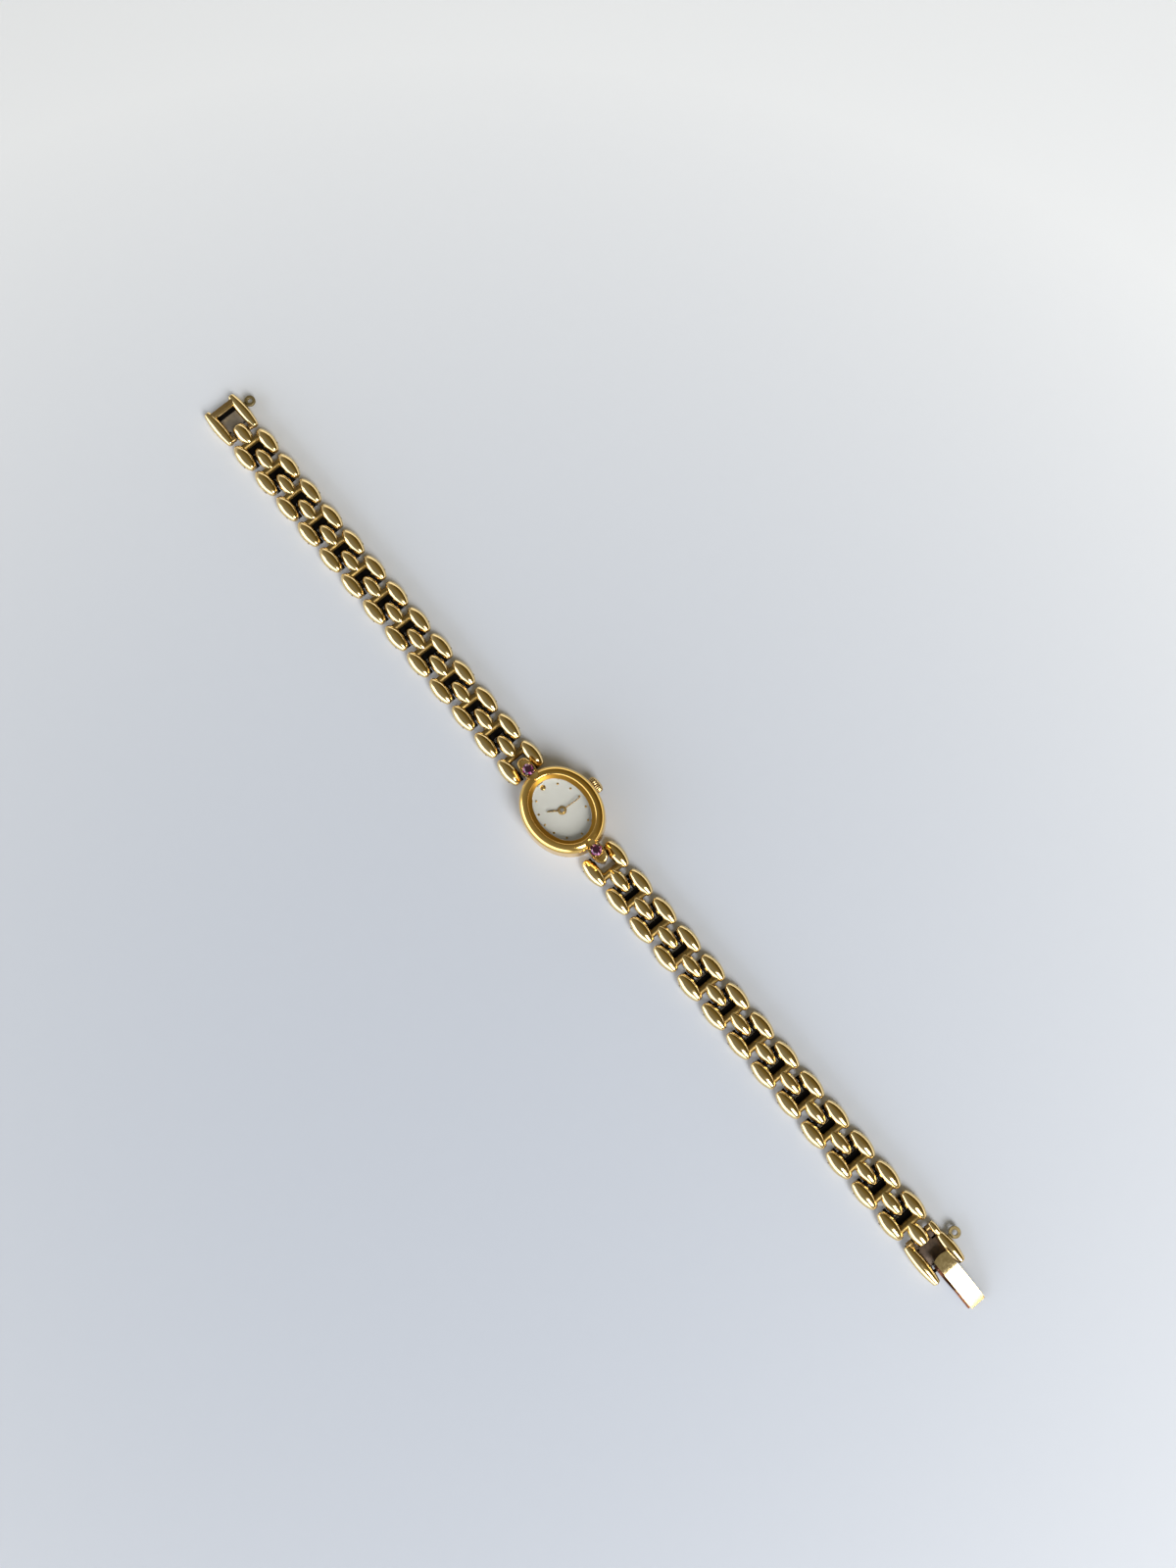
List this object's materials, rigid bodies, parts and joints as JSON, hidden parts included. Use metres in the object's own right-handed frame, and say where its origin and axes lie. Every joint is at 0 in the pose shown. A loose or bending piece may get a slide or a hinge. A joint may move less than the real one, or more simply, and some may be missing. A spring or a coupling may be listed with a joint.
{
  "type": "oval wristwatch",
  "caption": "Oval quartz dress watch with a gold case, two gem-set lugs and a bracelet of hinged rice-grain links with a folded hook clasp.",
  "frame": {"origin": "centre of the case back's flat face, on the surface that the watch lies on", "axes": "+Z out of the dial, +Y along the bracelet towards 12 o'clock, +X across it towards the crown"},
  "size_m": [0.0139, 0.1861, 0.0056],
  "materials": {
    "polished_gold": "polished gold plate over brass",
    "deep_gold": "polished gold plate, warm",
    "gold_hands": "satin gold",
    "crystal_glass": "clear mineral glass",
    "silver_dial": "fine silvery white lacquer",
    "ruby": "faceted pink-red stone",
    "steel_back": "brushed stainless steel",
    "black_rubber": "matte",
    "nylon_white": "moulded nylon",
    "movement_brass": "fine matte",
    "movement_steel": "bright",
    "copper_wire": "enamelled copper wire",
    "board_green": "satin circuit board",
    "cell_steel": "bright nickel-plated steel"
  },
  "bodies": {
    "head": {"case_middle": "polished_gold", "bezel": "polished_gold", "crystal": "crystal_glass", "crystal_gasket": "nylon_white", "dial_spacer_ring": "deep_gold", "dial": "silver_dial", "hour_markers": "gold_hands", "upper_gem_setting": "polished_gold", "lower_gem_setting": "polished_gold", "rubies": "ruby", "case_back": "steel_back", "case_back_gasket": "black_rubber", "main_plate": "movement_brass", "movement_ring": "nylon_white", "battery_cell": "cell_steel", "battery_clamp": "movement_steel", "coil": "copper_wire", "stator": "movement_steel", "train_bridge": "movement_brass", "circuit_board": "board_green"},
    "crown_slide": {"setting_lever": "movement_steel"},
    "crown_knob": {"crown": "polished_gold", "winding_stem": "movement_steel"},
    "minutes": {"minute_hand": "gold_hands", "cannon_pinion": "movement_steel", "centre_wheel": "movement_brass"},
    "hours": {"hour_hand": "gold_hands", "hour_wheel": "movement_brass"},
    "minute_wheel": {"minute_wheel": "movement_brass"},
    "reduction_wheel": {"reduction_wheel": "movement_brass"},
    "rotor": {"rotor": "movement_steel"},
    "upper_link_01": {"upper_link_01": "polished_gold"},
    "upper_link_02": {"upper_link_02": "polished_gold"},
    "upper_link_03": {"upper_link_03": "polished_gold"},
    "upper_link_04": {"upper_link_04": "polished_gold"},
    "upper_link_05": {"upper_link_05": "polished_gold"},
    "upper_link_06": {"upper_link_06": "polished_gold"},
    "upper_link_07": {"upper_link_07": "polished_gold"},
    "upper_link_08": {"upper_link_08": "polished_gold"},
    "upper_link_09": {"upper_link_09": "polished_gold"},
    "upper_link_10": {"upper_link_10": "polished_gold"},
    "upper_link_11": {"upper_link_11": "polished_gold"},
    "upper_link_12": {"upper_link_12": "polished_gold"},
    "upper_link_13": {"upper_link_13": "polished_gold"},
    "receiver_frame": {"receiver_frame": "polished_gold"},
    "lower_link_01": {"lower_link_01": "polished_gold"},
    "lower_link_02": {"lower_link_02": "polished_gold"},
    "lower_link_03": {"lower_link_03": "polished_gold"},
    "lower_link_04": {"lower_link_04": "polished_gold"},
    "lower_link_05": {"lower_link_05": "polished_gold"},
    "lower_link_06": {"lower_link_06": "polished_gold"},
    "lower_link_07": {"lower_link_07": "polished_gold"},
    "lower_link_08": {"lower_link_08": "polished_gold"},
    "lower_link_09": {"lower_link_09": "polished_gold"},
    "lower_link_10": {"lower_link_10": "polished_gold"},
    "lower_link_11": {"lower_link_11": "polished_gold"},
    "lower_link_12": {"lower_link_12": "polished_gold"},
    "lower_link_13": {"lower_link_13": "polished_gold"},
    "hook_frame": {"hook_frame": "polished_gold"},
    "hook_tongue": {"hook_tongue": "polished_gold"}
  },
  "joints": [
    {"name": "crown_pull", "type": "slide", "parent": "head", "child": "crown_slide", "axis": [1, 0, 0], "range_m": [0, 0.0006]},
    {"name": "crown_turn", "type": "hinge", "parent": "crown_slide", "child": "crown_knob", "pos_m": [0.0066, 0, 0.0021], "axis": [1, 0, 0], "continuous": true},
    {"name": "minute_hand_turn", "type": "hinge", "parent": "head", "child": "minutes", "pos_m": [0, 0, 0.0038], "axis": [0, 0, -1], "continuous": true},
    {"name": "hook_tongue_swing", "type": "hinge", "parent": "hook_frame", "child": "hook_tongue", "pos_m": [0, -0.08858, 0.001], "axis": [-1, 0, 0], "range_deg": [-8, 15]},
    {"name": "hour_hand_turn", "type": "hinge", "parent": "head", "child": "hours", "pos_m": [0, 0, 0.0035], "axis": [0, 0, -1], "continuous": true},
    {"name": "minute_wheel_turn", "type": "hinge", "parent": "head", "child": "minute_wheel", "pos_m": [0.00139, 0.00098, 0.0028], "axis": [0, 0, -1], "continuous": true},
    {"name": "reduction_wheel_turn", "type": "hinge", "parent": "head", "child": "reduction_wheel", "pos_m": [-0.00093, 0.00133, 0.0015], "axis": [0, 0, -1], "continuous": true},
    {"name": "rotor_turn", "type": "hinge", "parent": "head", "child": "rotor", "pos_m": [-0.00191, 0.0025, 0.0012], "axis": [0, 0, -1], "continuous": true},
    {"name": "upper_hinge_01", "type": "hinge", "parent": "head", "child": "upper_link_01", "pos_m": [0, 0.00937, 0.0011], "axis": [-1, 0, 0], "range_deg": [-6, 12.5]},
    {"name": "receiver_frame_hinge", "type": "hinge", "parent": "upper_link_13", "child": "receiver_frame", "pos_m": [0, 0.08328, 0.0011], "axis": [-1, 0, 0], "range_deg": [-6, 12.5]},
    {"name": "lower_hinge_01", "type": "hinge", "parent": "head", "child": "lower_link_01", "pos_m": [0, -0.00937, 0.0011], "axis": [1, 0, 0], "range_deg": [-6, 12.5]},
    {"name": "hook_frame_hinge", "type": "hinge", "parent": "lower_link_13", "child": "hook_frame", "pos_m": [0, -0.08328, 0.0011], "axis": [1, 0, 0], "range_deg": [-6, 12.5]},
    {"name": "upper_hinge_02", "type": "hinge", "parent": "upper_link_01", "child": "upper_link_02", "pos_m": [0, 0.01512, 0.0011], "axis": [-1, 0, 0], "range_deg": [-6, 12.5]},
    {"name": "upper_hinge_03", "type": "hinge", "parent": "upper_link_02", "child": "upper_link_03", "pos_m": [0, 0.02087, 0.0011], "axis": [-1, 0, 0], "range_deg": [-6, 12.5]},
    {"name": "upper_hinge_04", "type": "hinge", "parent": "upper_link_03", "child": "upper_link_04", "pos_m": [0, 0.02662, 0.0011], "axis": [-1, 0, 0], "range_deg": [-6, 12.5]},
    {"name": "upper_hinge_05", "type": "hinge", "parent": "upper_link_04", "child": "upper_link_05", "pos_m": [0, 0.03237, 0.0011], "axis": [-1, 0, 0], "range_deg": [-6, 12.5]},
    {"name": "upper_hinge_06", "type": "hinge", "parent": "upper_link_05", "child": "upper_link_06", "pos_m": [0, 0.03812, 0.0011], "axis": [-1, 0, 0], "range_deg": [-6, 12.5]},
    {"name": "upper_hinge_07", "type": "hinge", "parent": "upper_link_06", "child": "upper_link_07", "pos_m": [0, 0.04387, 0.0011], "axis": [-1, 0, 0], "range_deg": [-6, 12.5]},
    {"name": "upper_hinge_08", "type": "hinge", "parent": "upper_link_07", "child": "upper_link_08", "pos_m": [0, 0.04962, 0.0011], "axis": [-1, 0, 0], "range_deg": [-6, 12.5]},
    {"name": "upper_hinge_09", "type": "hinge", "parent": "upper_link_08", "child": "upper_link_09", "pos_m": [0, 0.05537, 0.0011], "axis": [-1, 0, 0], "range_deg": [-6, 12.5]},
    {"name": "upper_hinge_10", "type": "hinge", "parent": "upper_link_09", "child": "upper_link_10", "pos_m": [0, 0.06112, 0.0011], "axis": [-1, 0, 0], "range_deg": [-6, 12.5]},
    {"name": "upper_hinge_11", "type": "hinge", "parent": "upper_link_10", "child": "upper_link_11", "pos_m": [0, 0.06687, 0.0011], "axis": [-1, 0, 0], "range_deg": [-6, 12.5]},
    {"name": "upper_hinge_12", "type": "hinge", "parent": "upper_link_11", "child": "upper_link_12", "pos_m": [0, 0.07262, 0.0011], "axis": [-1, 0, 0], "range_deg": [-6, 12.5]},
    {"name": "upper_hinge_13", "type": "hinge", "parent": "upper_link_12", "child": "upper_link_13", "pos_m": [0, 0.07837, 0.0011], "axis": [-1, 0, 0], "range_deg": [-6, 12.5]},
    {"name": "lower_hinge_02", "type": "hinge", "parent": "lower_link_01", "child": "lower_link_02", "pos_m": [0, -0.01512, 0.0011], "axis": [1, 0, 0], "range_deg": [-6, 12.5]},
    {"name": "lower_hinge_03", "type": "hinge", "parent": "lower_link_02", "child": "lower_link_03", "pos_m": [0, -0.02087, 0.0011], "axis": [1, 0, 0], "range_deg": [-6, 12.5]},
    {"name": "lower_hinge_04", "type": "hinge", "parent": "lower_link_03", "child": "lower_link_04", "pos_m": [0, -0.02662, 0.0011], "axis": [1, 0, 0], "range_deg": [-6, 12.5]},
    {"name": "lower_hinge_05", "type": "hinge", "parent": "lower_link_04", "child": "lower_link_05", "pos_m": [0, -0.03237, 0.0011], "axis": [1, 0, 0], "range_deg": [-6, 12.5]},
    {"name": "lower_hinge_06", "type": "hinge", "parent": "lower_link_05", "child": "lower_link_06", "pos_m": [0, -0.03812, 0.0011], "axis": [1, 0, 0], "range_deg": [-6, 12.5]},
    {"name": "lower_hinge_07", "type": "hinge", "parent": "lower_link_06", "child": "lower_link_07", "pos_m": [0, -0.04387, 0.0011], "axis": [1, 0, 0], "range_deg": [-6, 12.5]},
    {"name": "lower_hinge_08", "type": "hinge", "parent": "lower_link_07", "child": "lower_link_08", "pos_m": [0, -0.04962, 0.0011], "axis": [1, 0, 0], "range_deg": [-6, 12.5]},
    {"name": "lower_hinge_09", "type": "hinge", "parent": "lower_link_08", "child": "lower_link_09", "pos_m": [0, -0.05537, 0.0011], "axis": [1, 0, 0], "range_deg": [-6, 12.5]},
    {"name": "lower_hinge_10", "type": "hinge", "parent": "lower_link_09", "child": "lower_link_10", "pos_m": [0, -0.06112, 0.0011], "axis": [1, 0, 0], "range_deg": [-6, 12.5]},
    {"name": "lower_hinge_11", "type": "hinge", "parent": "lower_link_10", "child": "lower_link_11", "pos_m": [0, -0.06687, 0.0011], "axis": [1, 0, 0], "range_deg": [-6, 12.5]},
    {"name": "lower_hinge_12", "type": "hinge", "parent": "lower_link_11", "child": "lower_link_12", "pos_m": [0, -0.07262, 0.0011], "axis": [1, 0, 0], "range_deg": [-6, 12.5]},
    {"name": "lower_hinge_13", "type": "hinge", "parent": "lower_link_12", "child": "lower_link_13", "pos_m": [0, -0.07837, 0.0011], "axis": [1, 0, 0], "range_deg": [-6, 12.5]}
  ],
  "couplings": [
    {"joint": "hour_hand_turn", "follows": "minute_hand_turn", "ratio": 0.083333},
    {"joint": "minute_wheel_turn", "follows": "minute_hand_turn", "ratio": -0.33333},
    {"joint": "reduction_wheel_turn", "follows": "minute_hand_turn", "ratio": -8},
    {"joint": "rotor_turn", "follows": "minute_hand_turn", "ratio": 60}
  ]
}
